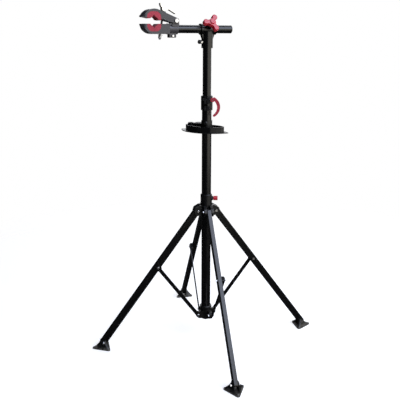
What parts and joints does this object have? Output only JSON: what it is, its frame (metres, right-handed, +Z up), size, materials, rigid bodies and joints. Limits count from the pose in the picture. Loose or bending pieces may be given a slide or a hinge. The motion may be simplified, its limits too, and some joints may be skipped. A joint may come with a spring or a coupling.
{
  "type": "bicycle repair stand",
  "caption": "Folding repair stand with splayed legs, sliding hub, telescoping mast, tool tray and a quick-release padded clamp on a turning arm.",
  "frame": {"origin": "on the floor under the mast axis", "axes": "+Z up along the mast; the clamp arm points along -X turned 25 degrees towards -Y; the head knob faces -Y turned 25 degrees towards +X"},
  "size_m": [0.9356, 0.9356, 1.3704],
  "materials": {
    "frame_paint": "satin black powder coat",
    "upper_paint": "satin black powder coat",
    "jaw_paint": "satin black paint on pressed steel",
    "black_plastic": "moulded glass-filled plastic",
    "grey_plastic": "natural acetal",
    "red_plastic": "moulded red plastic",
    "red_rubber": "soft moulded rubber",
    "bright_steel": "bright plated",
    "plain_steel": "zinc plated"
  },
  "bodies": {
    "base": {"lower_mast": "frame_paint", "bottom_hub": "black_plastic", "cam_collar": "black_plastic", "collar_screw": "plain_steel", "cam_bolt": "plain_steel", "base_bolt_1": "bright_steel", "base_bolt_2": "bright_steel", "base_bolt_3": "bright_steel", "base_bolt_4": "bright_steel"},
    "cam_lever": {"cam_lever": "red_plastic", "cam_pin": "plain_steel"},
    "tray": {"tray": "black_plastic"},
    "tray_screw": {"tray_screw": "black_plastic"},
    "mast": {"upper_mast": "upper_paint", "mast_bushing": "grey_plastic", "t_head": "upper_paint"},
    "head_screw": {"head_screw": "black_plastic", "head_screw_shank": "bright_steel"},
    "head_knob": {"head_knob": "red_plastic", "head_stud": "plain_steel"},
    "arm": {"arm_tube": "upper_paint", "arm_cap": "black_plastic", "lower_jaw": "jaw_paint", "lower_pad": "red_rubber", "jaw_pivot": "bright_steel", "lug_bolt": "bright_steel"},
    "upper_jaw": {"upper_jaw": "jaw_paint", "upper_pad": "red_rubber"},
    "rod": {"tension_rod": "plain_steel", "lever_pin": "plain_steel"},
    "rod_nut": {"rod_nut": "plain_steel"},
    "jaw_lever": {"jaw_lever": "bright_steel"},
    "hub": {"hub_sleeve": "black_plastic", "hub_bolt_1": "bright_steel", "hub_bolt_2": "bright_steel", "hub_bolt_3": "bright_steel", "hub_bolt_4": "bright_steel"},
    "hub_knob": {"hub_knob": "red_plastic", "hub_knob_stud": "plain_steel"},
    "leg_1": {"leg_1": "frame_paint", "leg_bolt_1": "bright_steel", "foot_bolt_1": "bright_steel"},
    "strut_1": {"strut_1": "frame_paint"},
    "foot_1": {"foot_1": "black_plastic"},
    "leg_2": {"leg_2": "frame_paint", "leg_bolt_2": "bright_steel", "foot_bolt_2": "bright_steel"},
    "strut_2": {"strut_2": "frame_paint"},
    "foot_2": {"foot_2": "black_plastic"},
    "leg_3": {"leg_3": "frame_paint", "leg_bolt_3": "bright_steel", "foot_bolt_3": "bright_steel"},
    "strut_3": {"strut_3": "frame_paint"},
    "foot_3": {"foot_3": "black_plastic"},
    "leg_4": {"leg_4": "frame_paint", "leg_bolt_4": "bright_steel", "foot_bolt_4": "bright_steel"},
    "strut_4": {"strut_4": "frame_paint"},
    "foot_4": {"foot_4": "black_plastic"}
  },
  "joints": [
    {"name": "stand_fold", "type": "hinge", "parent": "base", "child": "strut_1", "pos_m": [-0.03679, -0.00951, 0.112], "axis": [-0.2504, 0.9681, 0], "range_deg": [0, 33.4]},
    {"name": "leg_1_swing", "type": "hinge", "parent": "strut_1", "child": "leg_1", "pos_m": [-0.1998, -0.05167, 0.34], "axis": [0.2504, -0.9681, 0], "range_deg": [0, 66.8]},
    {"name": "hub_upright", "type": "hinge", "parent": "leg_1", "child": "hub", "pos_m": [-0.03679, -0.00951, 0.568], "axis": [-0.2504, 0.9681, 0], "range_deg": [0, 33.4]},
    {"name": "leg_2_swing", "type": "hinge", "parent": "hub", "child": "leg_2", "pos_m": [0.00951, -0.03679, 0.568], "axis": [0.9681, 0.2504, 0], "range_deg": [0, 33.4]},
    {"name": "strut_2_swing", "type": "hinge", "parent": "base", "child": "strut_2", "pos_m": [0.00951, -0.03679, 0.112], "axis": [-0.9681, -0.2504, 0], "range_deg": [0, 33.4]},
    {"name": "leg_3_swing", "type": "hinge", "parent": "hub", "child": "leg_3", "pos_m": [0.03679, 0.00951, 0.568], "axis": [-0.2504, 0.9681, 0], "range_deg": [0, 33.4]},
    {"name": "strut_3_swing", "type": "hinge", "parent": "base", "child": "strut_3", "pos_m": [0.03679, 0.00951, 0.112], "axis": [0.2504, -0.9681, 0], "range_deg": [0, 33.4]},
    {"name": "leg_4_swing", "type": "hinge", "parent": "hub", "child": "leg_4", "pos_m": [-0.00951, 0.03679, 0.568], "axis": [-0.9681, -0.2504, 0], "range_deg": [0, 33.4]},
    {"name": "strut_4_swing", "type": "hinge", "parent": "base", "child": "strut_4", "pos_m": [-0.00951, 0.03679, 0.112], "axis": [0.9681, 0.2504, 0], "range_deg": [0, 33.4]},
    {"name": "foot_1_tilt", "type": "hinge", "parent": "leg_1", "child": "foot_1", "pos_m": [-0.42502, -0.10992, 0.025], "axis": [-0.2504, 0.9681, 0], "range_deg": [-10, 35]},
    {"name": "foot_2_tilt", "type": "hinge", "parent": "leg_2", "child": "foot_2", "pos_m": [0.10992, -0.42502, 0.025], "axis": [-0.9681, -0.2504, 0], "range_deg": [-10, 35]},
    {"name": "foot_3_tilt", "type": "hinge", "parent": "leg_3", "child": "foot_3", "pos_m": [0.42502, 0.10992, 0.025], "axis": [0.2504, -0.9681, 0], "range_deg": [-10, 35]},
    {"name": "foot_4_tilt", "type": "hinge", "parent": "leg_4", "child": "foot_4", "pos_m": [-0.10992, 0.42502, 0.025], "axis": [0.9681, 0.2504, 0], "range_deg": [-10, 35]},
    {"name": "hub_knob_turn", "type": "hinge", "parent": "hub", "child": "hub_knob", "pos_m": [0.029, 0, 0.6176], "axis": [1, 0, 0], "continuous": true},
    {"name": "mast_height", "type": "slide", "parent": "base", "child": "mast", "axis": [0, 0, 1], "range_m": [-0.165, 0.3]},
    {"name": "cam_lever_swing", "type": "hinge", "parent": "base", "child": "cam_lever", "pos_m": [0.022, -0.031, 1.017], "axis": [0, -1, 0], "range_deg": [0, 108]},
    {"name": "tray_swivel", "type": "hinge", "parent": "base", "child": "tray", "pos_m": [0, 0, 0.89], "axis": [0, 0, 1], "continuous": true},
    {"name": "tray_screw_turn", "type": "hinge", "parent": "tray", "child": "tray_screw", "pos_m": [-0.00381, -0.02713, 0.926], "axis": [-0.1392, -0.9903, 0], "continuous": true},
    {"name": "head_knob_turn", "type": "hinge", "parent": "mast", "child": "head_knob", "pos_m": [0.01771, -0.03797, 1.30272], "axis": [0.3689, -0.7911, 0.4879], "continuous": true},
    {"name": "head_screw_turn", "type": "hinge", "parent": "mast", "child": "head_screw", "pos_m": [-0.02457, -0.01721, 1.233], "axis": [-0.8192, -0.5735, 0], "continuous": true},
    {"name": "arm_turn", "type": "hinge", "parent": "mast", "child": "arm", "pos_m": [0, 0, 1.2793], "axis": [0.9063, 0.4226, 0], "continuous": true},
    {"name": "rod_travel", "type": "slide", "parent": "arm", "child": "rod", "axis": [0.134, 0.0625, 0.989], "range_m": [-0.0073, 0.0059]},
    {"name": "rod_nut_turn", "type": "hinge", "parent": "arm", "child": "rod_nut", "pos_m": [-0.16658, -0.07768, 1.305], "axis": [-0.134, -0.0625, -0.989], "range_deg": [-2105, 1702]},
    {"name": "upper_jaw_swing", "type": "hinge", "parent": "arm", "child": "upper_jaw", "pos_m": [-0.12271, -0.05722, 1.3084], "axis": [-0.4226, 0.9063, 0], "range_deg": [-9, 7.3]},
    {"name": "jaw_lever_swing", "type": "hinge", "parent": "rod", "child": "jaw_lever", "pos_m": [-0.16042, -0.0748, 1.35049], "axis": [0.4226, -0.9063, 0], "range_deg": [0, 45]}
  ],
  "couplings": [
    {"joint": "leg_1_swing", "follows": "stand_fold", "ratio": 2},
    {"joint": "hub_upright", "follows": "stand_fold", "ratio": 1},
    {"joint": "leg_2_swing", "follows": "stand_fold", "ratio": 1},
    {"joint": "strut_2_swing", "follows": "stand_fold", "ratio": 1},
    {"joint": "leg_3_swing", "follows": "stand_fold", "ratio": 1},
    {"joint": "strut_3_swing", "follows": "stand_fold", "ratio": 1},
    {"joint": "leg_4_swing", "follows": "stand_fold", "ratio": 1},
    {"joint": "strut_4_swing", "follows": "stand_fold", "ratio": 1},
    {"joint": "rod_nut_turn", "follows": "rod_travel", "rad_per_m": 5026.5},
    {"joint": "upper_jaw_swing", "follows": "rod_travel", "rad_per_m": 21.142}
  ]
}
